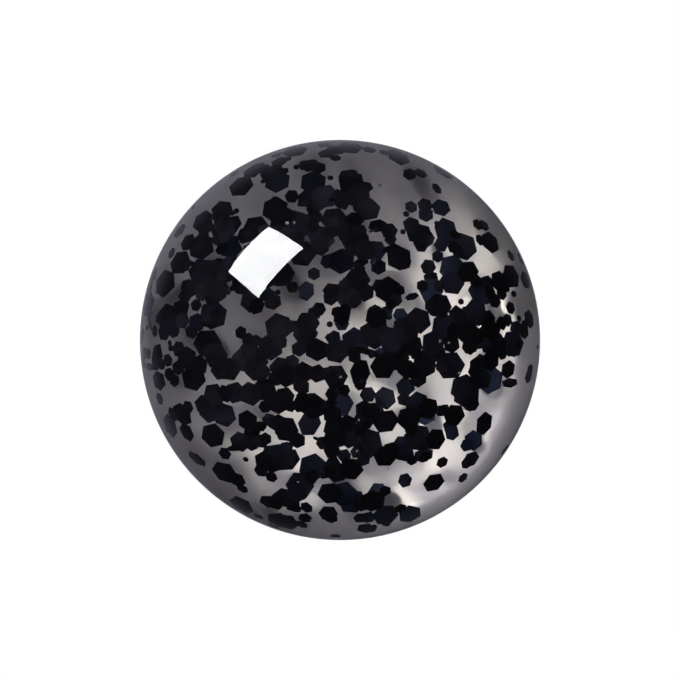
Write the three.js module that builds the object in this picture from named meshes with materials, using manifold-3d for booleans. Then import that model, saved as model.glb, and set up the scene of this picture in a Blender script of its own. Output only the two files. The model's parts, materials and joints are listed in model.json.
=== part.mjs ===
// A round lapel pin: a high clear resin dome bonded over a white enamelled metal disc, with two pointed tack
// posts on the back and a butterfly clutch on each post.
//
// Frame, in millimetres: the origin is the centre of the disc's flat back, which lies on the garment. +Z is
// up as worn, the dome faces -Y, the posts point along +Y, and -X is on the left as seen from the front.

import * as THREE from "three";
import { mergeVertices } from "three/addons/utils/BufferGeometryUtils.js";
import Module from "manifold-3d";

const wasm = await Module();
wasm.setup();

// ---------------------------------------------------------------- driving dimensions

const DOME_RADIUS = 12.5;
const DOME_HEIGHT = 10.8; // from the flat back to the crown
const DOME_EDGE_RADIUS = 0.35; // the round on the moulded back edge

const BOND_GAP = 0.02; // between solids that are stuck together
const ADHESIVE_RADIUS = 11.9;
const ADHESIVE_THICKNESS = 0.28;
const ENAMEL_DEPTH = 0.5;

const PLATE_RADIUS = 12.2;
const PLATE_RIM_WIDTH = 0.5;
const PLATE_FLOOR = 0.9;
const PLATE_EDGE_RADIUS = 0.4;
const CLEAR_BACK_RADIUS = 3.2; // of the back's middle, between the flanges

const POST_SPACING = 12; // between the two posts, along X
const POST_RADIUS = 0.55;
const POST_LENGTH = 8; // from the plate's back to the tip
const POST_POINT_LENGTH = 1.5;
const GROOVE_RADIUS = 0.42;
const FLANGE_RADIUS = 2.2;
const FLANGE_THICKNESS = 0.4;
const SOLDER_WIDTH = 0.5; // of the fillet round the flange
const SOLDER_HEIGHT = 0.32;

const CLUTCH_REST = 2.2; // from the plate's back to the clutch's face, room for the garment
const CLUTCH_RADIUS = 5.6;
const CLUTCH_SHEET = 0.4;
const CLUTCH_RIM_HEIGHT = 1.0;
const CLUTCH_HOLE_RADIUS = 0.8;
const CLUTCH_BEARING_RADIUS = 3.2; // inside the band of its face that clears the flange

const SPRING_SHEET = 0.35;
const SEAT_HALF_LENGTH = 3.0;
const SEAT_HALF_WIDTH = 1.9;
const TONGUE_HALF_WIDTH = 1.3;
const TONGUE_REACH = 1.4; // past the post's axis
const LOWER_TONGUE_LEVEL = 2.0; // above the clutch's face
const UPPER_TONGUE_LEVEL = 2.8;
const JAW_CLEARANCE = 0.06; // between a jaw's gripping edge and the post
const JAW_OPEN_ROOM = 0.5; // behind the post, for the tongue's travel

// ---------------------------------------------------------------- derived places along Y

const ENAMEL_FRONT = -(PLATE_FLOOR + ENAMEL_DEPTH);
const ADHESIVE_BACK = ENAMEL_FRONT - BOND_GAP;
const ADHESIVE_FRONT = ADHESIVE_BACK - ADHESIVE_THICKNESS;
const DOME_BACK = ADHESIVE_FRONT - BOND_GAP;
const SEAT_BACK = CLUTCH_SHEET + BOND_GAP; // above the clutch's face
const SEAT_TOP = SEAT_BACK + SPRING_SHEET;

// ---------------------------------------------------------------- materials

const metal = (color, roughness) => new THREE.MeshStandardMaterial({ color, roughness, metalness: 1 });
const MATERIALS = {
  clearResin: new THREE.MeshPhysicalMaterial({ color: 0xf3f1ee, roughness: 0.03, transmission: 1, ior: 1.5 }),
  adhesive: new THREE.MeshPhysicalMaterial({ color: 0xf0ece2, roughness: 0.2, transmission: 0.9, ior: 1.5 }),
  whiteEnamel: new THREE.MeshStandardMaterial({ color: 0xe9e5dd, roughness: 0.25, metalness: 0 }),
  nickelPlate: metal(0xc9c7c2, 0.25),
  steelPost: metal(0xbfc1c4, 0.2),
  solder: metal(0xa9abad, 0.45),
  clutchSheet: metal(0xcbc8c0, 0.3),
  springSheet: metal(0xd2cec4, 0.28),
};

// ---------------------------------------------------------------- solids

// A closed geometry as a manifold-3d solid.
function toSolid(geometry) {
  const bare = geometry.clone().deleteAttribute("normal").deleteAttribute("uv");
  const merged = mergeVertices(bare, 1e-4);
  return new wasm.Manifold(
    new wasm.Mesh({
      numProp: 3,
      vertProperties: merged.attributes.position.array,
      triVerts: new Uint32Array(merged.index.array),
    }),
  );
}

function toGeometry(solid) {
  const { vertProperties, triVerts } = solid.getMesh();
  return new THREE.BufferGeometry()
    .setAttribute("position", new THREE.BufferAttribute(vertProperties, 3))
    .setIndex(new THREE.BufferAttribute(triVerts, 1));
}

// A profile of [radius, y] points, listed with the solid on the left, turned about the Y axis.
function turned(profile, segments = 48) {
  const points = profile.map(([radius, y]) => new THREE.Vector2(radius, y));
  return toSolid(new THREE.LatheGeometry(points, segments));
}

function closedTurned(profile, segments = 48) {
  return turned([...profile, profile[0]], segments);
}

function cylinder(radius, from, to, segments = 32) {
  return turned([[0, from], [radius, from], [radius, to], [0, to]], segments);
}

// Points of a quarter arc about a centre, from one angle to another, in degrees.
function arc([x, y], radius, fromDegrees, toDegrees, steps = 4) {
  return Array.from({ length: steps + 1 }, (_, i) => {
    const angle = THREE.MathUtils.degToRad(fromDegrees + ((toDegrees - fromDegrees) * i) / steps);
    return [x + radius * Math.cos(angle), y + radius * Math.sin(angle)];
  });
}

function box(size, centre) {
  return toSolid(new THREE.BoxGeometry(...size).translate(...centre));
}

// An outline in the plane of its first two axes, extruded along the third and centred on it.
function extruded(outline, depth, curveSegments = 12) {
  const geometry = new THREE.ExtrudeGeometry(outline, { depth, bevelEnabled: false, curveSegments });
  return geometry.translate(0, 0, -depth / 2);
}

function part(name, solid, material) {
  const mesh = new THREE.Mesh(toGeometry(solid), material);
  mesh.name = name;
  return mesh;
}

// ---------------------------------------------------------------- front: dome, adhesive, enamel, plate

function resinDome() {
  const girdle = DOME_BACK - DOME_EDGE_RADIUS;
  const rise = DOME_HEIGHT - DOME_EDGE_RADIUS;
  const crown = arc([0, 0], 1, 0, -90, 14).map(([x, y]) => [DOME_RADIUS * x, girdle + rise * y]);
  crown[crown.length - 1][0] = 0;
  const backEdge = arc([DOME_RADIUS - DOME_EDGE_RADIUS, girdle], DOME_EDGE_RADIUS, 0, 90, 3).reverse();
  return turned([...crown.reverse(), ...backEdge.slice(0, -1).reverse(), [0, DOME_BACK]]);
}

function adhesiveLayer() {
  return cylinder(ADHESIVE_RADIUS, ADHESIVE_FRONT, ADHESIVE_BACK, 48);
}

function enamelLayer() {
  const radius = PLATE_RADIUS - PLATE_RIM_WIDTH - BOND_GAP;
  return cylinder(radius, ENAMEL_FRONT, -PLATE_FLOOR - BOND_GAP, 48);
}

// A shallow cup for the enamel. The extra ring on its flat back lies between the two flanges.
function backingPlate() {
  const rimInner = PLATE_RADIUS - PLATE_RIM_WIDTH;
  const edgeCentre = [PLATE_RADIUS - PLATE_EDGE_RADIUS, -PLATE_EDGE_RADIUS];
  return turned([
    [0, -PLATE_FLOOR],
    [rimInner, -PLATE_FLOOR],
    [rimInner, ENAMEL_FRONT],
    [PLATE_RADIUS, ENAMEL_FRONT],
    ...arc(edgeCentre, PLATE_EDGE_RADIUS, 0, 90),
    [CLEAR_BACK_RADIUS, 0],
    [0, 0],
  ]);
}

// ---------------------------------------------------------------- back: posts and their solder

function tackPost() {
  const flangeBack = BOND_GAP;
  const flangeTop = flangeBack + FLANGE_THICKNESS;
  const grooveStart = CLUTCH_REST + LOWER_TONGUE_LEVEL;
  const grooveEnd = CLUTCH_REST + UPPER_TONGUE_LEVEL;
  const taper = POST_RADIUS - GROOVE_RADIUS;
  return turned(
    [
      [0, flangeBack],
      [FLANGE_RADIUS, flangeBack],
      [FLANGE_RADIUS, flangeTop],
      [POST_RADIUS, flangeTop],
      [POST_RADIUS, grooveStart - taper],
      [GROOVE_RADIUS, grooveStart],
      [GROOVE_RADIUS, grooveEnd],
      [POST_RADIUS, grooveEnd + taper],
      [POST_RADIUS, POST_LENGTH - POST_POINT_LENGTH],
      [POST_RADIUS * 0.8, POST_LENGTH - POST_POINT_LENGTH * 0.6],
      [POST_RADIUS * 0.25, POST_LENGTH - POST_POINT_LENGTH * 0.08],
      [0, POST_LENGTH],
    ],
    24,
  );
}

function solderFillet() {
  const inner = FLANGE_RADIUS + BOND_GAP;
  const floor = BOND_GAP;
  return closedTurned(
    [
      [inner, floor],
      [inner + SOLDER_WIDTH, floor],
      [inner + SOLDER_WIDTH * 0.45, floor + SOLDER_HEIGHT * 0.25],
      [inner + SOLDER_WIDTH * 0.15, floor + SOLDER_HEIGHT * 0.6],
      [inner, floor + SOLDER_HEIGHT],
    ],
    32,
  );
}

// ---------------------------------------------------------------- clutch, with its face at y = 0

const TAB = { thickness: 0.35, halfLength: 1.0, lap: 0.45, gap: 0.05 };

// The round pressed base, dished to a rolled rim, with two tabs folded over the spring's seat.
function clutchBase() {
  const bend = CLUTCH_RIM_HEIGHT - 0.2;
  const bendCentre = [CLUTCH_RADIUS - bend, bend];
  const dish = closedTurned(
    [
      [CLUTCH_HOLE_RADIUS, 0],
      [CLUTCH_BEARING_RADIUS, 0],
      ...arc(bendCentre, bend, -90, 0),
      [CLUTCH_RADIUS, CLUTCH_RIM_HEIGHT],
      [CLUTCH_RADIUS - CLUTCH_SHEET, CLUTCH_RIM_HEIGHT],
      ...arc(bendCentre, bend - CLUTCH_SHEET, 0, -90),
      [CLUTCH_HOLE_RADIUS, CLUTCH_SHEET],
    ],
    40,
  );
  const wallInner = SEAT_HALF_WIDTH + TAB.gap;
  const tabTop = SEAT_TOP + TAB.gap + TAB.thickness;
  const sink = 0.1; // of the wall into the base, which joins them
  const wallHeight = tabTop - CLUTCH_SHEET + sink;
  const tabs = [-1, 1].flatMap((side) => [
    box(
      [TAB.thickness, wallHeight, 2 * TAB.halfLength],
      [side * (wallInner + TAB.thickness / 2), tabTop - wallHeight / 2, 0],
    ),
    box(
      [TAB.lap + TAB.thickness, TAB.thickness, 2 * TAB.halfLength],
      [side * (wallInner + (TAB.thickness - TAB.lap) / 2), tabTop - TAB.thickness / 2, 0],
    ),
  ]);
  return tabs.reduce((base, tab) => base.add(tab), dish);
}

// The flat middle of the spring strip, which the tabs hold on the base.
function springSeat() {
  const strip = box(
    [2 * SEAT_HALF_WIDTH, SPRING_SHEET, 2 * SEAT_HALF_LENGTH],
    [0, SEAT_BACK + SPRING_SHEET / 2, 0],
  );
  return strip.subtract(cylinder(CLUTCH_HOLE_RADIUS, 0, 2));
}

// A wing's centreline as [out, along] points: out from the post's axis, along it from the clutch's face.
// It leaves the seat's end, loops out and back over, drops to its tongue and crosses the axis.
function wingCentreline(tongueLevel) {
  const loop = new THREE.SplineCurve(
    [
      [SEAT_HALF_LENGTH + 0.15, SEAT_BACK + SPRING_SHEET / 2],
      [4.35, 0.95],
      [5.2, 2.2],
      [5.15, 3.8],
      [4.3, 4.95],
      [3.15, 5.0],
      [2.5, 4.2],
      [2.35, tongueLevel + 0.65],
      [1.85, tongueLevel],
    ].map(([out, along]) => new THREE.Vector2(out, along)),
  );
  const points = loop.getPoints(26);
  points.push(new THREE.Vector2(-TONGUE_REACH, tongueLevel));
  return points;
}

// A line of points as the outline of a strip of one thickness.
function thickened(points, thickness) {
  const side = (sign) =>
    points.map((point, i) => {
      const before = points[Math.max(i - 1, 0)];
      const after = points[Math.min(i + 1, points.length - 1)];
      const along = after.clone().sub(before).normalize();
      const normal = new THREE.Vector2(-along.y, along.x);
      return point.clone().addScaledVector(normal, (sign * thickness) / 2);
    });
  return new THREE.Shape([...side(-1), ...side(1).reverse()]);
}

// A wing's outline seen along the post, as [out, half width] points: narrow at the tongue, wide at the ear.
const EAR_OUTLINE = [
  [-TONGUE_REACH - 0.3, TONGUE_HALF_WIDTH],
  [1.5, TONGUE_HALF_WIDTH],
  [2.0, SEAT_HALF_WIDTH],
  [3.2, SEAT_HALF_WIDTH],
  [4.2, 2.35],
  [5.0, 2.1],
  [5.5, 1.3],
];

function earPrism() {
  const upper = EAR_OUTLINE.map(([out, width]) => new THREE.Vector2(out, width));
  const lower = EAR_OUTLINE.map(([out, width]) => new THREE.Vector2(out, -width)).reverse();
  return extruded(new THREE.Shape([...upper, ...lower]), 16);
}

// A wing that points up (+Z). Its tongue has a slot whose near edge grips the post's far side.
function wing(tongueLevel) {
  const strip = extruded(thickened(wingCentreline(tongueLevel), SPRING_SHEET), 8);
  strip.applyMatrix4(new THREE.Matrix4().makeBasis(Z_AXIS, Y_AXIS, X_AXIS.clone().negate()));
  const ear = earPrism().applyMatrix4(new THREE.Matrix4().makeBasis(Z_AXIS, X_AXIS, Y_AXIS));
  const slot = new THREE.Shape();
  const grip = POST_RADIUS + JAW_CLEARANCE;
  slot.absarc(0, 0, grip, Math.PI / 2, (3 * Math.PI) / 2);
  slot.absarc(JAW_OPEN_ROOM, 0, grip, -Math.PI / 2, Math.PI / 2);
  const slotCutter = extruded(slot, 2 * UPPER_TONGUE_LEVEL + 1, 6);
  slotCutter.applyMatrix4(new THREE.Matrix4().makeBasis(Z_AXIS, X_AXIS, Y_AXIS));
  return toSolid(strip).intersect(toSolid(ear)).subtract(toSolid(slotCutter));
}

const X_AXIS = new THREE.Vector3(1, 0, 0);
const Y_AXIS = new THREE.Vector3(0, 1, 0);
const Z_AXIS = new THREE.Vector3(0, 0, 1);

function butterflyClutch(name) {
  const clutch = new THREE.Group();
  const lowerWing = part(`${name}_wing_lower`, wing(UPPER_TONGUE_LEVEL), MATERIALS.springSheet);
  lowerWing.rotation.y = Math.PI;
  clutch.add(
    part(`${name}_base`, clutchBase(), MATERIALS.clutchSheet),
    part(`${name}_spring_seat`, springSeat(), MATERIALS.springSheet),
    part(`${name}_wing_upper`, wing(LOWER_TONGUE_LEVEL), MATERIALS.springSheet),
    lowerWing,
  );
  return clutch;
}

// ---------------------------------------------------------------- assembly

const lapelPin = new THREE.Group();
lapelPin.add(
  part("resin_dome", resinDome(), MATERIALS.clearResin),
  part("adhesive_layer", adhesiveLayer(), MATERIALS.adhesive),
  part("enamel_layer", enamelLayer(), MATERIALS.whiteEnamel),
  part("backing_plate", backingPlate(), MATERIALS.nickelPlate),
);

for (const [side, sign] of [["left", -1], ["right", 1]]) {
  const x = (sign * POST_SPACING) / 2;
  const post = part(`tack_post_${side}`, tackPost(), MATERIALS.steelPost);
  const solder = part(`solder_fillet_${side}`, solderFillet(), MATERIALS.solder);
  const clutch = butterflyClutch(`clutch_${side}`);
  post.position.x = x;
  solder.position.x = x;
  clutch.position.set(x, CLUTCH_REST, 0);
  lapelPin.add(post, solder, clutch);
}

export default lapelPin;
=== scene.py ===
"""A round lapel pin: a clear resin dome full of black hexagonal glitter over white enamel.

Row frame, in metres: the dome faces -Y, +Z is up, and the origin is the centre of the plate's flat back.
Lengths below are in millimetres until mesh_object() scales them.
"""

import json
import math
import random

import bmesh
import bpy
from mathutils import Matrix, Vector

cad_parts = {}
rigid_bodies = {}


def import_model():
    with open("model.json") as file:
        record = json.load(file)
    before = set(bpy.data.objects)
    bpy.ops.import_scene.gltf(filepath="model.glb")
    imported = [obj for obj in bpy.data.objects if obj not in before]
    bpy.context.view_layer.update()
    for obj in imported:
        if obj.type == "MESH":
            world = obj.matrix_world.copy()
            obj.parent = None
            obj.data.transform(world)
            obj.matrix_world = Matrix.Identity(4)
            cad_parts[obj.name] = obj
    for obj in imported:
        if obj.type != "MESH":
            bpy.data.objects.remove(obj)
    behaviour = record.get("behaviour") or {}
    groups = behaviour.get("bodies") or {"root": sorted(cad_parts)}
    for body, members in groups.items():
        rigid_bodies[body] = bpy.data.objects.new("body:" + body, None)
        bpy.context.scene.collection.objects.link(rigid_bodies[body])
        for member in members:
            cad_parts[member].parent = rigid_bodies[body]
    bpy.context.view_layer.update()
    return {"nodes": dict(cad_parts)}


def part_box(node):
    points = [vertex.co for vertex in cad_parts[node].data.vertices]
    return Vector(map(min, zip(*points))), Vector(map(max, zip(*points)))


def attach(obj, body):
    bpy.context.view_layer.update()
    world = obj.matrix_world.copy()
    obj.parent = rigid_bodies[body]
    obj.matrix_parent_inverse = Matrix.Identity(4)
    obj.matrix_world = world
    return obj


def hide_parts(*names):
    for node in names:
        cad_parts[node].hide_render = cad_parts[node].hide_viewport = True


MM = 0.001
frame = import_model()


# ---------------------------------------------------------------- driving dimensions


def box_mm(node):
    low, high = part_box(node)
    return low / MM, high / MM


dome_low, dome_high = box_mm("resin_dome")
plate_low, plate_high = box_mm("backing_plate")
enamel_low, enamel_high = box_mm("enamel_layer")
adhesive_low, adhesive_high = box_mm("adhesive_layer")

DOME_RADIUS = dome_high.x
DOME_EDGE = 0.35
DOME_GIRDLE = dome_high.y - DOME_EDGE
DOME_RISE = DOME_GIRDLE - dome_low.y
RESIN_INDEX = 1.5
ENAMEL_FRONT = enamel_low.y
CONTACT = 0.02
BUBBLES = 14
BOND_INNER = 11.5
BEAD_INNER = BOND_INNER + 0.04

# Flakes, across their flats
LARGE, MEDIUM, SMALL, SPECK = 1.28, 0.95, 0.68, 0.32
FLAKE_THICKNESS = 0.04
USUAL_LEAN = 20
STEEP_LEAN, STEEP_SHARE = (50, 85), 0.07

# ---------------------------------------------------------------- meshes


def raw_mesh(name, vertices, faces):
    mesh = bpy.data.meshes.new(name)
    mesh.from_pydata([Vector(v) * MM for v in vertices], [], faces)
    mesh.validate()
    work = bmesh.new()
    work.from_mesh(mesh)
    bmesh.ops.recalc_face_normals(work, faces=work.faces)
    work.to_mesh(mesh)
    work.free()
    return mesh


def mesh_object(name, vertices, faces, material, smooth_angle=35):
    mesh = raw_mesh(name, vertices, faces)
    if smooth_angle:
        mesh.shade_smooth()
        mesh.set_sharp_from_angle(angle=math.radians(smooth_angle))
    mesh.materials.append(material)
    obj = bpy.data.objects.new(name, mesh)
    bpy.context.scene.collection.objects.link(obj)
    return obj


def belongs(obj, body, slot, *nodes):
    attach(obj, body)
    if nodes:
        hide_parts(*nodes)
    return obj


def turned(profile, segments, closed=False, centre=(0, 0), wobble=None):
    """Vertices and faces of a profile of (radius, y) points turned about the Y axis through centre (x, z)."""
    vertices, rings = [], []
    for radius, y in profile:
        if radius < 1e-6:
            rings.append([len(vertices)] * segments)
            vertices.append((centre[0], y, centre[1]))
            continue
        rings.append(list(range(len(vertices), len(vertices) + segments)))
        for i in range(segments):
            angle = 2 * math.pi * i / segments
            reach = radius * (wobble(angle, radius) if wobble else 1)
            vertices.append((centre[0] + reach * math.cos(angle), y, centre[1] + reach * math.sin(angle)))
    pairs = list(zip(rings, rings[1:]))
    if closed:
        pairs.append((rings[-1], rings[0]))
    faces = []
    for a, b in pairs:
        for i in range(segments):
            j = (i + 1) % segments
            corners = list(dict.fromkeys((a[i], a[j], b[j], b[i])))
            if len(corners) > 2:
                faces.append(corners)
    return vertices, faces


def arc(centre, radius, start, end, steps):
    points = []
    for i in range(steps + 1):
        angle = math.radians(start + (end - start) * i / steps)
        points.append((centre[0] + radius * math.cos(angle), centre[1] + radius * math.sin(angle)))
    return points


def softened(profile, closed, radius=0.06, steps=3):
    """The profile with each corner off the axis replaced by a small round."""
    points = [Vector(p) for p in profile]
    result = []
    for i, point in enumerate(points):
        ends = not closed and i in (0, len(points) - 1)
        if ends or point.x < 1e-6:
            result.append(tuple(point))
            continue
        before, after = points[i - 1] - point, points[(i + 1) % len(points)] - point
        cut = min(radius, before.length * 0.4, after.length * 0.4)
        if abs(before.normalized().dot(after.normalized()) + 1) < 0.02:
            result.append(tuple(point))
            continue
        start, end = point + before.normalized() * cut, point + after.normalized() * cut
        for step in range(steps + 1):
            t = step / steps
            result.append(tuple(start * (1 - t) ** 2 + point * 2 * t * (1 - t) + end * t * t))
    return result


# ---------------------------------------------------------------- materials


def principled(name, color, roughness, metallic=0.0, **extra):
    material = bpy.data.materials.new(name)
    material.use_nodes = True
    shader = material.node_tree.nodes["Principled BSDF"]
    shader.inputs["Base Color"].default_value = (*color, 1)
    shader.inputs["Roughness"].default_value = roughness
    shader.inputs["Metallic"].default_value = metallic
    for key, value in extra.items():
        shader.inputs[key.replace("_", " ")].default_value = value
    return material, shader


def noise(tree, scale, stretch=(1, 1, 1), detail=4.0):
    coordinates = tree.nodes.new("ShaderNodeTexCoord")
    mapping = tree.nodes.new("ShaderNodeMapping")
    mapping.inputs["Scale"].default_value = stretch
    texture = tree.nodes.new("ShaderNodeTexNoise")
    texture.inputs["Scale"].default_value = scale
    texture.inputs["Detail"].default_value = detail
    tree.links.new(coordinates.outputs["Object"], mapping.inputs["Vector"])
    tree.links.new(mapping.outputs["Vector"], texture.inputs["Vector"])
    return texture.outputs["Fac"]


def ranged(tree, value, low, high):
    node = tree.nodes.new("ShaderNodeMapRange")
    node.inputs["From Min"].default_value = 0.3
    node.inputs["From Max"].default_value = 0.7
    node.inputs["To Min"].default_value = low
    node.inputs["To Max"].default_value = high
    tree.links.new(value, node.inputs["Value"])
    return node.outputs["Result"]


def bumped(tree, shader, height, strength, distance):
    bump = tree.nodes.new("ShaderNodeBump")
    bump.inputs["Strength"].default_value = strength
    bump.inputs["Distance"].default_value = distance * MM
    tree.links.new(height, bump.inputs["Height"])
    tree.links.new(bump.outputs["Normal"], shader.inputs["Normal"])


def metal(name, color, smooth, rough, grain, stretch=(1, 1, 1), strength=0.15, distance=0.01):
    """A plated metal: its roughness wanders from smooth to rough, over a fine grain."""
    material, shader = principled(name, color, smooth, 1.0)
    tree = material.node_tree
    tree.links.new(ranged(tree, noise(tree, 320), smooth, rough), shader.inputs["Roughness"])
    bumped(tree, shader, noise(tree, grain, stretch, 6.0), strength, distance)
    return material


def paint_depth_tone(material, shader, near, far, front, back):
    """Flakes are near in tone at the front of the dome and far in tone at its back, each by its own random
    share. The far tone is painted light: deeper flakes are painted lighter and bluer, as the lilac light in
    the resin shows them.
    """
    tree = material.node_tree
    geometry_node = tree.nodes.new("ShaderNodeNewGeometry")
    parts = tree.nodes.new("ShaderNodeSeparateXYZ")
    tree.links.new(geometry_node.outputs["Position"], parts.inputs[0])
    depth = tree.nodes.new("ShaderNodeMapRange")
    for key, value in zip(("From Min", "From Max", "To Min", "To Max"), (front * MM, back * MM, 0.0, 1.0)):
        depth.inputs[key].default_value = value
    tree.links.new(parts.outputs["Y"], depth.inputs["Value"])
    share = tree.nodes.new("ShaderNodeMath")
    share.operation = "MULTIPLY"
    tree.links.new(depth.outputs["Result"], share.inputs[0])
    tree.links.new(geometry_node.outputs["Random Per Island"], share.inputs[1])
    tones = tree.nodes.new("ShaderNodeValToRGB")
    tones.color_ramp.elements[0].position = 0.15
    tones.color_ramp.elements[0].color = (*near, 1)
    tones.color_ramp.elements[1].position = 0.8
    tones.color_ramp.elements[1].color = (*far, 1)
    tree.links.new(share.outputs["Value"], tones.inputs["Fac"])
    tree.links.new(tones.outputs["Color"], shader.inputs["Base Color"])


resin, _ = principled("clear_resin", (1, 1, 1), 0.0, IOR=RESIN_INDEX, Transmission_Weight=1.0)
adhesive, _ = principled("clear_adhesive", (0.98, 0.96, 0.9), 0.08, IOR=RESIN_INDEX, Transmission_Weight=1.0)
# The black glitter gets painted light by depth: deeper flakes are painted lighter and bluer; the rest of its
# tone varies at random.
glitter, glitter_shader = principled("black_glitter", (0.004, 0.004, 0.006), 0.35, Specular_IOR_Level=0.0)
paint_depth_tone(glitter, glitter_shader, (0.0085, 0.0078, 0.0105), (0.011, 0.016, 0.031), dome_low.y, dome_high.y)

enamel, enamel_shader = principled("white_enamel", (0.84, 0.81, 0.78), 0.35)
enamel_tree = enamel.node_tree
enamel_tone = enamel_tree.nodes.new("ShaderNodeMix")
enamel_tone.data_type = "RGBA"
enamel_tone.inputs["A"].default_value = (0.72, 0.7, 0.69, 1)
enamel_tone.inputs["B"].default_value = (0.88, 0.855, 0.82, 1)
enamel_tree.links.new(noise(enamel_tree, 420), enamel_tone.inputs["Factor"])
enamel_tree.links.new(enamel_tone.outputs["Result"], enamel_shader.inputs["Base Color"])

nickel = metal("nickel_plate", (0.72, 0.7, 0.67), 0.3, 0.36, 3600, strength=0.5, distance=0.02)
post_steel = metal("steel_post", (0.68, 0.68, 0.68), 0.16, 0.26, 3000, (1, 0.06, 1), 0.12)
solder = metal("solder", (0.56, 0.56, 0.57), 0.3, 0.48, 900, strength=0.4, distance=0.03)
clutch_metal = metal("clutch_sheet", (0.74, 0.71, 0.65), 0.2, 0.32, 1800, (1, 1, 0.15), 0.1)
spring_metal = metal("spring_sheet", (0.76, 0.73, 0.67), 0.16, 0.28, 1800, (0.12, 1, 1), 0.1)

METALS = (nickel, post_steel, solder, clutch_metal, spring_metal)

# ---------------------------------------------------------------- resin dome

# One generator, drawn on for the bubbles, then the glitter, then the solder. Of twenty seeds, this one put
# dark and light regions most nearly where the photographed pin has them, though with a different mix of
# flakes from this one.
rng = random.Random(17)


def dome_surface_y(radius):
    share = min(radius / DOME_RADIUS, 1)
    return DOME_GIRDLE - DOME_RISE * math.sqrt(1 - share * share)


def bubble(work, centre, radius):
    """A small air bubble: a closed surface whose normals face its inside, where the air is."""
    made = bmesh.ops.create_icosphere(work, subdivisions=3, radius=radius * MM)
    verts = made["verts"]
    bmesh.ops.translate(work, verts=verts, vec=Vector(centre) * MM)
    faces = list({face for vert in verts for face in vert.link_faces})
    for face in faces:
        face.smooth = True
    bmesh.ops.reverse_faces(work, faces=faces)


def dome_piece():
    crown = []
    for i in range(65):
        angle = math.pi / 2 * i / 64
        crown.append((DOME_RADIUS * math.sin(angle), DOME_GIRDLE - DOME_RISE * math.cos(angle)))
    crown[0] = (0, crown[0][1])
    edge_centre = (DOME_RADIUS - DOME_EDGE, DOME_GIRDLE)
    edge = arc(edge_centre, DOME_EDGE, 0, 90, 8)[1:]
    foot = ENAMEL_FRONT + CONTACT
    profile = crown + edge + [(BOND_INNER, dome_high.y), (BOND_INNER, foot), (0, foot)]
    obj = mesh_object("cast_dome", *turned(profile, 256), resin)
    work = bmesh.new()
    work.from_mesh(obj.data)
    for _ in range(BUBBLES):
        radius, turn = 9.5 * math.sqrt(rng.random()), rng.uniform(0, 2 * math.pi)
        top = dome_surface_y(radius)
        y = top + 0.5 + (ENAMEL_FRONT - top - 1.5) * rng.random() ** 2
        bubble(work, (radius * math.cos(turn), y, radius * math.sin(turn)), rng.uniform(0.05, 0.11))
    work.to_mesh(obj.data)
    work.free()
    return belongs(obj, "pin", "clear_resin", "resin_dome")


def adhesive_piece():
    """The bond line, squeezed out a little all round; inside it the dome sits straight on the enamel."""
    low, high = adhesive_low.y, adhesive_high.y
    middle = (low + high) / 2
    radius = adhesive_high.x
    profile = [(BEAD_INNER, low), (radius, low), (radius + 0.1, middle), (radius, high), (BEAD_INNER, high)]
    shape = turned(softened(profile, True, 0.1), 192, closed=True)
    obj = mesh_object("adhesive_bead", *shape, adhesive)
    return belongs(obj, "pin", "clear_adhesive", "adhesive_layer")


dome_piece()
adhesive_piece()

# ---------------------------------------------------------------- glitter

# Where flakes are crowded (an amount above 0) or sparse, seen from the front: x, z, spread, amount.
# The patches were chosen after how dark each region of the photographed pin is.
CROWDS = [
    (-7.5, 6.0, 1.8, 1.0),
    (-1.0, 8.5, 1.8, 0.7),
    (0.5, 1.8, 2.2, 0.6),
    (9.3, 0.8, 1.5, 2.2),
    (-1.0, -3.0, 1.6, 0.4),
    (-7.0, -5.5, 2.0, 0.5),
    (-2.5, -9.6, 1.8, 0.8),
    (6.0, -1.2, 1.6, 1.2),
    (-10.0, 0.5, 2.0, 0.7),
    (5.0, 6.0, 1.2, 0.4),
    (-3.5, -0.5, 1.2, -0.3),
    (4.6, 9.6, 1.8, -0.6),
    (9.2, 7.6, 1.7, -0.6),
    (3.0, -3.0, 1.0, -0.6),
    (9.6, -6.2, 2.0, -0.75),
    (11.2, -3.6, 1.2, -0.8),
    (-8.7, -8.7, 1.5, -0.9),
    (6.5, -9.2, 1.6, -0.4),
    (3.4, -7.0, 1.2, -0.3),
    (-8.0, 9.6, 1.6, -0.7),
]


def crowding(x, z):
    total = 1.0
    for cx, cz, spread, amount in CROWDS:
        total += amount * math.exp(-((x - cx) ** 2 + (z - cz) ** 2) / (2 * spread * spread))
    return max(total, 0.02)


def seen_spot():
    """A place on the dome's outline as seen from the front, likelier where flakes are crowded."""
    while True:
        radius, turn = 12.35 * math.sqrt(rng.random()), rng.uniform(0, 2 * math.pi)
        x, z = radius * math.cos(turn), radius * math.sin(turn)
        if rng.random() * 2.6 < crowding(x, z):
            return x, z


def behind_spot(x, z, share):
    """The point a share of the way down the line of sight that enters the dome at (x, z)."""
    radius = math.hypot(x, z)
    entry = Vector((x, dome_surface_y(radius), z))
    slope = Vector((x, (entry.y - DOME_GIRDLE) * (DOME_RADIUS / DOME_RISE) ** 2, z)).normalized()
    bend = 1 / RESIN_INDEX
    facing = -slope.y
    line = Vector((0, bend, 0)) + slope * (bend * facing - math.sqrt(1 - bend * bend * (1 - facing * facing)))
    return entry + line * (share * (ENAMEL_FRONT - entry.y) / line.y)


def apart(a, b):
    """True if two flakes, as thin discs (centre, normal, reach), can't touch."""
    between = b[0] - a[0]
    if between.length > a[2] + b[2]:
        return True
    lean = a[1].cross(b[1]).length
    clear = FLAKE_THICKNESS * 1.5
    return abs(between.dot(a[1])) > b[2] * lean + clear or abs(between.dot(b[1])) > a[2] * lean + clear


def roomiest(spots, seen):
    """The spot with the widest gap to the flakes already seen; each of those is (x, z, reach)."""
    return max(spots, key=lambda p: min((math.hypot(p[0] - x, p[1] - z) - r for x, z, r in seen), default=0))


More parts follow.
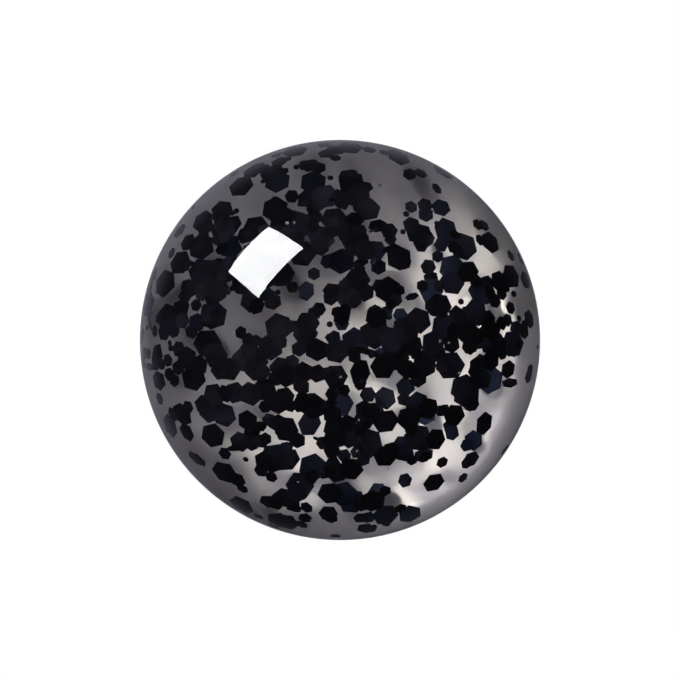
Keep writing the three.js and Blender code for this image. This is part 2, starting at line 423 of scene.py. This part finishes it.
def scatter(count, across, placed, seen, choices):
    """Flakes of one size, each kept inside the dome and off the ones already placed."""
    found = []
    tries = 0
    while len(found) < count and tries < 20000:
        tries += 1
        size = across * rng.uniform(0.93, 1.07)
        reach = size / math.sqrt(3)
        x, z = roomiest([seen_spot() for _ in range(choices)], seen)
        centre = behind_spot(x, z, rng.uniform(0.03, 0.97))
        lean = abs(rng.gauss(0, USUAL_LEAN))
        if rng.random() < STEEP_SHARE:
            lean = rng.uniform(*STEEP_LEAN)
        lean = math.radians(lean)
        around = rng.uniform(0, 2 * math.pi)
        aside = math.sin(lean)
        normal = Vector((aside * math.cos(around), -math.cos(lean), aside * math.sin(around)))
        drop = reach * math.sin(lean) + 0.05
        outer = math.hypot(centre.x, centre.z) + reach * math.cos(lean)
        if outer > DOME_RADIUS - 0.2 or centre.y + drop > ENAMEL_FRONT - 0.04:
            continue
        if centre.y - drop < dome_surface_y(outer) + 0.1:
            continue
        flake = (centre, normal, reach, rng.uniform(0, math.pi / 3))
        if all(apart(flake, other) for other in placed):
            placed.append(flake)
            seen.append((x, z, reach))
            found.append(flake)
    return found


def glitter_piece(name, flakes):
    vertices, faces = [], []
    for centre, normal, reach, spin in flakes:
        side = normal.orthogonal().normalized()
        other = normal.cross(side)
        base = len(vertices)
        for level in (-0.5, 0.5):
            for i in range(6):
                angle = spin + i * math.pi / 3
                arm = side * math.cos(angle) + other * math.sin(angle)
                vertices.append(centre + arm * reach + normal * FLAKE_THICKNESS * level)
        faces.append([base + i for i in range(6)])
        faces.append([base + 6 + i for i in range(6)])
        for i in range(6):
            j = (i + 1) % 6
            faces.append([base + i, base + j, base + 6 + j, base + 6 + i])
    obj = mesh_object(name, vertices, faces, glitter, smooth_angle=0)
    return belongs(obj, "pin", "black_glitter")


placed, seen = [], []
for name, across, count, choices in (
    ("glitter_large", LARGE, 150, 2),
    ("glitter_medium", MEDIUM, 104, 2),
    ("glitter_small", SMALL, 300, 1),
    ("glitter_specks", SPECK, 60, 1),
):
    glitter_piece(name, scatter(count, across, placed, seen, choices))

# ---------------------------------------------------------------- enamel, plate, posts and solder


def enamel_piece():
    radius = enamel_high.x
    front, back = enamel_low.y, enamel_high.y
    profile = [
        (0, front),
        (radius - 0.5, front),
        (radius - 0.12, front + 0.03),
        (radius, front + 0.12),
        (radius, back),
        (0, back),
    ]
    obj = mesh_object("enamel_fill", *turned(profile, 192), enamel)
    return belongs(obj, "pin", "white_enamel", "enamel_layer")


def plate_piece():
    outer, rim = plate_high.x, enamel_high.x + 0.02
    front, floor = plate_low.y, enamel_high.y + 0.02
    edge = arc((outer - 0.4, -0.4), 0.4, 0, 90, 8)
    profile = [(0, floor), (rim, floor), (rim, front), (outer, front), *edge, (0, 0)]
    obj = mesh_object("plated_disc", *turned(softened(profile, False, 0.07), 256), nickel)
    return belongs(obj, "pin", "nickel_plate", "backing_plate")


def post_pieces(side):
    """A tack post with its flange, groove and point, and the uneven ring of solder round the flange."""
    low, high = box_mm(f"tack_post_{side}")
    centre = ((low.x + high.x) / 2, 0)
    flange = (high.x - low.x) / 2
    radius, neck, foot = 0.55, 0.42, low.y + 0.4
    profile = [
        (0, low.y),
        (flange, low.y),
        (flange, foot),
        (radius + 0.12, foot),
        (radius, low.y + 0.52),
        (radius, 4.07),
        (neck, 4.2),
        (neck, 5.0),
        (radius, 5.13),
        (radius, high.y - 1.5),
        (radius * 0.9, high.y - 1.15),
        (radius * 0.62, high.y - 0.6),
        (radius * 0.28, high.y - 0.15),
        (0.05, high.y - 0.01),
        (0, high.y),
    ]
    post = mesh_object(f"post_{side}", *turned(softened(profile, False, 0.05), 64, centre=centre), post_steel)
    belongs(post, "pin", "steel_post", f"tack_post_{side}")
    waves = [(k, rng.uniform(0, 2 * math.pi), rng.uniform(0.004, 0.012)) for k in (2, 3, 5, 8, 13)]

    def flow(angle, reach):
        share = max(reach - flange - 0.1, 0) / 0.4
        return 1 + share * sum(size * math.sin(k * angle + phase) for k, phase, size in waves)

    inner, floor = flange + 0.02, 0.02
    profile = [
        (inner, floor),
        (inner + 0.46, floor),
        (inner + 0.36, floor + 0.03),
        (inner + 0.2, floor + 0.1),
        (inner + 0.08, floor + 0.2),
        (inner, floor + 0.32),
    ]
    ring = mesh_object(f"solder_{side}", *turned(profile, 96, True, centre, flow), solder, 50)
    belongs(ring, "pin", "solder", f"solder_fillet_{side}")


enamel_piece()
plate_piece()
for side in ("left", "right"):
    post_pieces(side)

# ---------------------------------------------------------------- clutches

SHEET, SPRING = 0.4, 0.35
SEAT_GAP = 0.02
SEAT_MIDDLE = SHEET + SEAT_GAP + SPRING / 2
SEAT_HALF_LENGTH, SEAT_HALF_WIDTH = 3.0, 1.9
LOWER_TONGUE, UPPER_TONGUE = 2.0, 2.8
TONGUE_TIP = -1.4
BASE_RADIUS, BASE_HEIGHT, POST_HOLE = 5.6, 1.0, 0.8


def smooth_line(points, per_span):
    """A Catmull-Rom line through the points."""
    points = [Vector(p) for p in points]
    line = []
    for i in range(len(points) - 1):
        a, b = points[max(i - 1, 0)], points[i]
        c, d = points[i + 1], points[min(i + 2, len(points) - 1)]
        for step in range(per_span):
            t = step / per_span
            square = (2 * a - 5 * b + 4 * c - d) * t * t
            cube = (3 * b - a - 3 * c + d) * t * t * t
            line.append(0.5 * (2 * b + (c - a) * t + square + cube))
    line.append(points[-1])
    return line


def strip(line, half_width, thickness, corner=0.09):
    """A bent strip with rounded edges. line holds (out, along) points; the strip's width lies along X."""
    section = []
    for start, sx, sy in ((0, 1, 1), (90, -1, 1), (180, -1, -1), (270, 1, -1)):
        for step in range(4):
            angle = math.radians(start + 30 * step)
            section.append((sx, sy, math.cos(angle), math.sin(angle)))
    vertices, rings = [], []
    for i, point in enumerate(line):
        along = (line[min(i + 1, len(line) - 1)] - line[max(i - 1, 0)]).normalized()
        normal = Vector((-along.y, along.x))
        rings.append(range(len(vertices), len(vertices) + len(section)))
        width = half_width[i]
        for sx, sy, cosine, sine in section:
            w = sx * (width - corner) + corner * cosine
            t = sy * (thickness / 2 - corner) + corner * sine
            spot = point + normal * t
            vertices.append((w, spot.y, spot.x))
    faces = []
    count = len(section)
    for a, b in zip(rings, rings[1:]):
        for i in range(count):
            j = (i + 1) % count
            faces.append([a[i], a[j], b[j], b[i]])
    faces += [list(rings[0]), list(rings[-1])]
    return vertices, faces


def rounded_widths(line, width_at, round_start, round_end, radius=0.45):
    """Half widths along a line, drawn in to a round corner at the ends that ask for it."""
    lengths = [0.0]
    for a, b in zip(line, line[1:]):
        lengths.append(lengths[-1] + (b - a).length)
    widths = []
    for point, at in zip(line, lengths):
        width = width_at(point)
        for wanted, left in ((round_start, at), (round_end, lengths[-1] - at)):
            if wanted and left < radius:
                width -= radius - math.sqrt(max(radius * radius - (radius - left) ** 2, 0))
        widths.append(width)
    return widths


def stadium(half_length, radius, low, high, centre):
    """A slot-shaped cutter along the post: centre is (x, z) of the slot's middle, which runs along Z."""
    outline = []
    for start, shift in ((0, half_length), (180, -half_length)):
        for x, z in arc((0, shift), radius, start, start + 180, 16):
            outline.append((centre[0] + x, centre[1] + z))
    count = len(outline)
    vertices = [(x, low, z) for x, z in outline] + [(x, high, z) for x, z in outline]
    faces = [list(range(count)), list(range(count, 2 * count))]
    faces += [[i, (i + 1) % count, count + (i + 1) % count, count + i] for i in range(count)]
    return vertices, faces


def combined(shape, other, operation):
    """The second shape united with the first or cut out of it, as vertices in millimetres and faces."""
    whole = bpy.data.objects.new("whole", raw_mesh("whole", *shape))
    tool = bpy.data.objects.new("tool", raw_mesh("tool", *other))
    for obj in (whole, tool):
        for vertex in obj.data.vertices:
            vertex.co = vertex.co / MM
        bpy.context.scene.collection.objects.link(obj)
    modifier = whole.modifiers.new("combined", "BOOLEAN")
    modifier.object = tool
    modifier.operation = operation
    modifier.solver = "EXACT"
    result = bpy.data.meshes.new_from_object(whole.evaluated_get(bpy.context.evaluated_depsgraph_get()))
    shape = [tuple(v.co) for v in result.vertices], [list(p.vertices) for p in result.polygons]
    for obj in (whole, tool):
        bpy.data.objects.remove(obj)
    return shape


def joined(*shapes):
    vertices, faces = [], []
    for more, rings in shapes:
        base = len(vertices)
        vertices += more
        faces += [[base + i for i in ring] for ring in rings]
    return vertices, faces


def placed_at(shape, x, y, flip):
    """The shape moved to a clutch at x, its face at y, turned half round about the post if flip."""
    sign = -1 if flip else 1
    return [(x + sign * a, y + b, sign * c) for a, b, c in shape[0]], shape[1]


def base_shape():
    bend = 0.8
    centre = (BASE_RADIUS - bend, bend)
    profile = [
        (POST_HOLE, 0),
        *arc(centre, bend, -90, 0, 12),
        (BASE_RADIUS, BASE_HEIGHT),
        (BASE_RADIUS - SHEET, BASE_HEIGHT),
        *arc(centre, bend - SHEET, 0, -90, 12),
        (POST_HOLE, SHEET),
    ]
    dish = turned(softened(profile, True, 0.09), 128, closed=True)
    tabs = []
    for side in (-1, 1):
        wall = SEAT_HALF_WIDTH + 0.05 + 0.175
        top = SHEET + SEAT_GAP + SPRING + 0.05 + 0.175
        bend_line = smooth_line([(wall, SHEET - 0.1), (wall, top - 0.25)], 3)
        bend_line += [Vector(p) for p in arc((wall - 0.22, top - 0.22), 0.22, 0, 90, 6)]
        bend_line += smooth_line([(wall - 0.3, top), (SEAT_HALF_WIDTH - 0.45 + 0.05, top)], 6)
        widths = rounded_widths(bend_line, lambda point: 1.0, False, True, 0.3)
        vertices, faces = strip(bend_line, widths, 0.33)
        tabs.append(([(side * z, y, x) for x, y, z in vertices], faces))
    return combined(dish, joined(*tabs), "UNION")


def seat_shape():
    line = smooth_line([(-SEAT_HALF_LENGTH, SEAT_MIDDLE), (SEAT_HALF_LENGTH, SEAT_MIDDLE)], 12)
    plate = strip(line, [SEAT_HALF_WIDTH] * len(line), SPRING)
    return combined(plate, stadium(0.0001, POST_HOLE, 0, 2, (0, 0)), "DIFFERENCE")


def wing_shape(level):
    """A wing that points up: it loops out from the seat, back over its foot, and down to a slotted tongue."""
    loop = smooth_line(
        [
            (3.15, SEAT_MIDDLE),
            (4.35, 0.95),
            (5.2, 2.2),
            (5.15, 3.8),
            (4.3, 4.95),
            (3.15, 5.0),
            (2.5, 4.2),
            (2.35, level + 0.65),
            (1.85, level),
        ],
        7,
    )
    tongue = [Vector((1.85 - 0.25 * i, level)) for i in range(1, 12)]
    tongue += [Vector((TONGUE_TIP + 0.35 * (1 - i / 8) ** 2, level)) for i in range(9)]
    line = loop + tongue

    def width_at(point):
        bulge = math.sin(math.pi * min(max((point.x - 3.2) / 2.1, 0), 1))
        ear = SEAT_HALF_WIDTH + 0.42 * max(0.0, bulge)
        if point.x >= 2.0:
            return ear
        share = min(max((point.x - 1.5) / 0.5, 0), 1)
        return 1.3 + 0.6 * share * share * (3 - 2 * share)

    widths = rounded_widths(line, width_at, False, True, 0.35)
    grip = 0.55 + 0.06
    slot = stadium(0.25, grip, level - 1, level + 1, (0, 0.25))
    return combined(strip(line, widths, SPRING), slot, "DIFFERENCE")


def clutch_pieces(side):
    low, high = box_mm(f"clutch_{side}_base")
    middle, clutch = (low.x + high.x) / 2, f"clutch_{side}"
    upper, lower = f"{clutch}_wing_upper", f"{clutch}_wing_lower"
    for piece, shape, flip, material, body, slot, node in (
        ("pressed_base", base_shape(), False, clutch_metal, clutch, "clutch_sheet", "base"),
        ("spring_middle", seat_shape(), False, spring_metal, clutch, "spring_sheet", "spring_seat"),
        ("upper_ear", wing_shape(LOWER_TONGUE), False, spring_metal, upper, "spring_sheet", "wing_upper"),
        ("lower_ear", wing_shape(UPPER_TONGUE), True, spring_metal, lower, "spring_sheet", "wing_lower"),
    ):
        vertices, faces = placed_at(shape, middle, low.y, flip)
        obj = mesh_object(f"{clutch}_{piece}", vertices, faces, material)
        belongs(obj, body, slot, f"{clutch}_{node}")


for side in ("left", "right"):
    clutch_pieces(side)

# ---------------------------------------------------------------- materials of the CAD nodes

NODE_MATERIALS = {
    "resin_dome": resin,
    "adhesive_layer": adhesive,
    "enamel_layer": enamel,
    "backing_plate": nickel,
    "tack_post": post_steel,
    "solder": solder,
    "clutch_left_base": clutch_metal,
    "clutch_right_base": clutch_metal,
    "clutch": spring_metal,
}
for node, obj in frame["nodes"].items():
    obj.data.materials.clear()
    material = next(material for start, material in NODE_MATERIALS.items() if node.startswith(start))
    obj.data.materials.append(material)

# ---------------------------------------------------------------- camera and light

FRAME_WIDTH = 42.5 * MM
LENS = 300.0
camera_data = bpy.data.cameras.new("camera")
camera_data.lens = LENS
camera_data.clip_start = 0.01
camera = bpy.data.objects.new("camera", camera_data)
bpy.context.scene.collection.objects.link(camera)
target = Vector((0, DOME_GIRDLE * MM, 0))
camera.location = target + Vector((0, -FRAME_WIDTH * LENS / 36.0, 0))
camera.rotation_euler = (math.pi / 2, 0, 0)
bpy.context.scene.camera = camera


def towards(off_axis, azimuth):
    """A direction by its angle from the pin's axis and its azimuth seen from the front, where 90 is up."""
    off_axis, azimuth = math.radians(off_axis), math.radians(azimuth)
    aside = math.sin(off_axis)
    return (aside * math.cos(azimuth), -math.cos(off_axis), aside * math.sin(azimuth))


def area_light(
    name, direction, width, height, radiance, color, turned_by=(0, 0), distance=200, aim=(0, 0), spread=180
):
    """A rectangle of one radiance that faces the dome, turned by a tilt and a roll, aimed aside and up."""
    data = bpy.data.lights.new(name, "AREA")
    data.shape = "RECTANGLE"
    data.size = width * MM
    data.size_y = height * MM
    data.energy = radiance * math.pi * data.size * data.size_y
    data.color = color
    data.spread = math.radians(spread)
    light = bpy.data.objects.new(name, data)
    bpy.context.scene.collection.objects.link(light)
    away = Vector(direction).normalized()
    across = away.cross(Vector((0, -1, 0))).normalized()
    up = away.cross(across)
    aside, raised = aim
    spot = Vector((0, DOME_GIRDLE, 0)) + across * aside - up * raised
    tilt, roll = turned_by
    facing = Matrix((across, up, away)).transposed().to_4x4()
    turn = Matrix.Rotation(math.radians(tilt), 4, "X") @ Matrix.Rotation(math.radians(roll), 4, "Z")
    light.matrix_world = Matrix.Translation((spot + away * distance) * MM) @ facing @ turn
    light.visible_camera = False
    return light


# The softbox is what the dome mirrors. The key and the two fills shine through it on the enamel.
# The key is a flagged beam: it passes over the near side of the dome's foot and under its crown.
COOL_WHITE = (0.98, 0.99, 1.0)
WARM_WHITE = (1.0, 0.945, 0.86)
LILAC = (0.9, 0.88, 1.0)
PALE_LILAC = (0.9, 0.885, 1.0)
NEUTRAL = (1.0, 0.99, 0.97)
softbox = area_light("softbox", towards(60.1, 133.6), 99, 97, 23, COOL_WHITE, (26, 6.6), aim=(0, 3.4))
softbox.visible_transmission = False
key = area_light("key", towards(68, 136), 26, 9, 1.9, WARM_WHITE, distance=32, aim=(2.5, 3.9), spread=12)
key.visible_glossy = False
fill = area_light("fill", towards(70, 134), 60, 24, 1.0, LILAC, distance=60, aim=(0, 7.5), spread=60)
fill.visible_glossy = False
rim_fill = area_light(
    "rim_fill", towards(55, -45), 40, 4, 1.0, PALE_LILAC, distance=25, aim=(0, -5.8), spread=30
)
rim_fill.visible_glossy = False

# These light only the metal parts, so the dome doesn't mirror them.
HARDWARE = bpy.data.collections.new("hardware")
for obj in list(bpy.context.scene.collection.objects):
    if obj.type == "MESH" and obj.data.materials and obj.data.materials[0] in METALS:
        HARDWARE.objects.link(obj)
for name, direction, width, height, radiance in (
    ("back_softbox", (-0.5, 0.72, 0.55), 150, 110, 2.6),
    ("back_fill", (0.75, 0.6, 0.05), 110, 220, 1.2),
    ("top_strip", (0.15, 0.1, 1.0), 240, 60, 1.8),
    ("left_strip", (-1.0, 0.1, -0.1), 60, 220, 1.3),
    ("right_strip", (1.0, -0.1, 0.15), 60, 220, 1.3),
    ("back_panel", (0.05, 1.0, 0.05), 420, 420, 0.4),
    ("low_fill", (0.0, 0.5, -1.0), 240, 120, 0.8),
):
    light = area_light(name, direction, width, height, radiance, NEUTRAL)
    light.visible_transmission = False
    light.light_linking.receiver_collection = HARDWARE

FRONT_LEVEL = 0.052
RING_LOW, RING_HIGH = 0.03, 0.06
BEHIND_LOW, BEHIND_HIGH = 0.06, 0.3
SEEN_THROUGH = 0.75


def surroundings():
    """White to the camera and nearly so through the resin; as light, dark in front and brighter behind."""
    world = bpy.data.worlds.new("world")
    bpy.context.scene.world = world
    world.use_nodes = True
    nodes, links = world.node_tree.nodes, world.node_tree.links

    def ramp(value, low, high, at_low, at_high):
        node = nodes.new("ShaderNodeMapRange")
        node.interpolation_type = "SMOOTHSTEP"
        links.new(value, node.inputs["Value"])
        for key, number in zip(("From Min", "From Max", "To Min", "To Max"), (low, high, at_low, at_high)):
            node.inputs[key].default_value = number
        return node.outputs["Result"]

    def blend(factor, a, b):
        node = nodes.new("ShaderNodeMix")
        for socket, value in zip((node.inputs["Factor"], node.inputs["A"], node.inputs["B"]), (factor, a, b)):
            if isinstance(value, float):
                socket.default_value = value
            else:
                links.new(value, socket)
        return node.outputs["Result"]

    coordinates = nodes.new("ShaderNodeTexCoord").outputs["Generated"]
    parts = nodes.new("ShaderNodeSeparateXYZ")
    links.new(coordinates, parts.inputs[0])
    corner = nodes.new("ShaderNodeVectorMath")
    corner.operation = "DOT_PRODUCT"
    links.new(coordinates, corner.inputs[0])
    corner.inputs[1].default_value = (-0.69, 0, 0.72)
    behind = ramp(corner.outputs["Value"], -0.35, 0.35, BEHIND_LOW, BEHIND_HIGH)
    ring = ramp(corner.outputs["Value"], -0.5, 0.5, RING_LOW, RING_HIGH)
    level = blend(ramp(parts.outputs["Y"], 0.4, 0.95, 0.0, 1.0), ring, behind)
    level = blend(ramp(parts.outputs["Y"], -0.5, 0.0, 0.0, 1.0), FRONT_LEVEL, level)
    background = nodes["Background"]
    background.inputs["Color"].default_value = (0.82, 0.79, 1.0, 1)
    links.new(level, background.inputs["Strength"])
    path = nodes.new("ShaderNodeLightPath")
    undiffused = nodes.new("ShaderNodeMath")
    undiffused.operation = "LESS_THAN"
    undiffused.inputs[1].default_value = 0.5
    links.new(path.outputs["Diffuse Depth"], undiffused.inputs[0])
    through = nodes.new("ShaderNodeMath")
    through.operation = "MULTIPLY"
    links.new(path.outputs["Is Transmission Ray"], through.inputs[0])
    links.new(undiffused.outputs[0], through.inputs[1])
    shader = background.outputs[0]
    for factor, level in ((through.outputs[0], SEEN_THROUGH), (path.outputs["Is Camera Ray"], 1.0)):
        white = nodes.new("ShaderNodeBackground")
        white.inputs["Color"].default_value = (1, 1, 1, 1)
        white.inputs["Strength"].default_value = level
        mix = nodes.new("ShaderNodeMixShader")
        links.new(factor, mix.inputs["Fac"])
        links.new(shader, mix.inputs[1])
        links.new(white.outputs[0], mix.inputs[2])
        shader = mix.outputs[0]
    links.new(shader, nodes["World Output"].inputs["Surface"])


surroundings()


def floor_piece():
    """A plain pale floor that the pin's edge clears, as white as the surroundings and clear from below."""
    half, z = 3000, -DOME_RADIUS - 0.5
    corners = [(-half, -half, z), (half, -half, z), (half, half, z), (-half, half, z)]
    material = bpy.data.materials.new("pale_floor")
    material.use_nodes = True
    nodes, links = material.node_tree.nodes, material.node_tree.links
    nodes.clear()
    glow = nodes.new("ShaderNodeEmission")
    glow.inputs["Color"].default_value = (1, 1, 1, 1)
    clear = nodes.new("ShaderNodeBsdfTransparent")
    side = nodes.new("ShaderNodeNewGeometry")
    mix = nodes.new("ShaderNodeMixShader")
    output = nodes.new("ShaderNodeOutputMaterial")
    links.new(side.outputs["Backfacing"], mix.inputs["Fac"])
    links.new(glow.outputs[0], mix.inputs[1])
    links.new(clear.outputs[0], mix.inputs[2])
    links.new(mix.outputs[0], output.inputs["Surface"])
    floor = mesh_object("floor", corners, [(0, 1, 2, 3)], material, smooth_angle=0)
    for kind in ("visible_diffuse", "visible_glossy", "visible_transmission", "visible_shadow"):
        setattr(floor, kind, False)


floor_piece()

scene = bpy.context.scene
scene.view_settings.view_transform = "Standard"
scene.cycles.max_bounces = 16
scene.cycles.transmission_bounces = 12
scene.cycles.glossy_bounces = 6
scene.cycles.diffuse_bounces = 6
scene.cycles.sample_clamp_indirect = 0.0
scene.cycles.blur_glossy = 0.0
scene.cycles.use_guiding = True
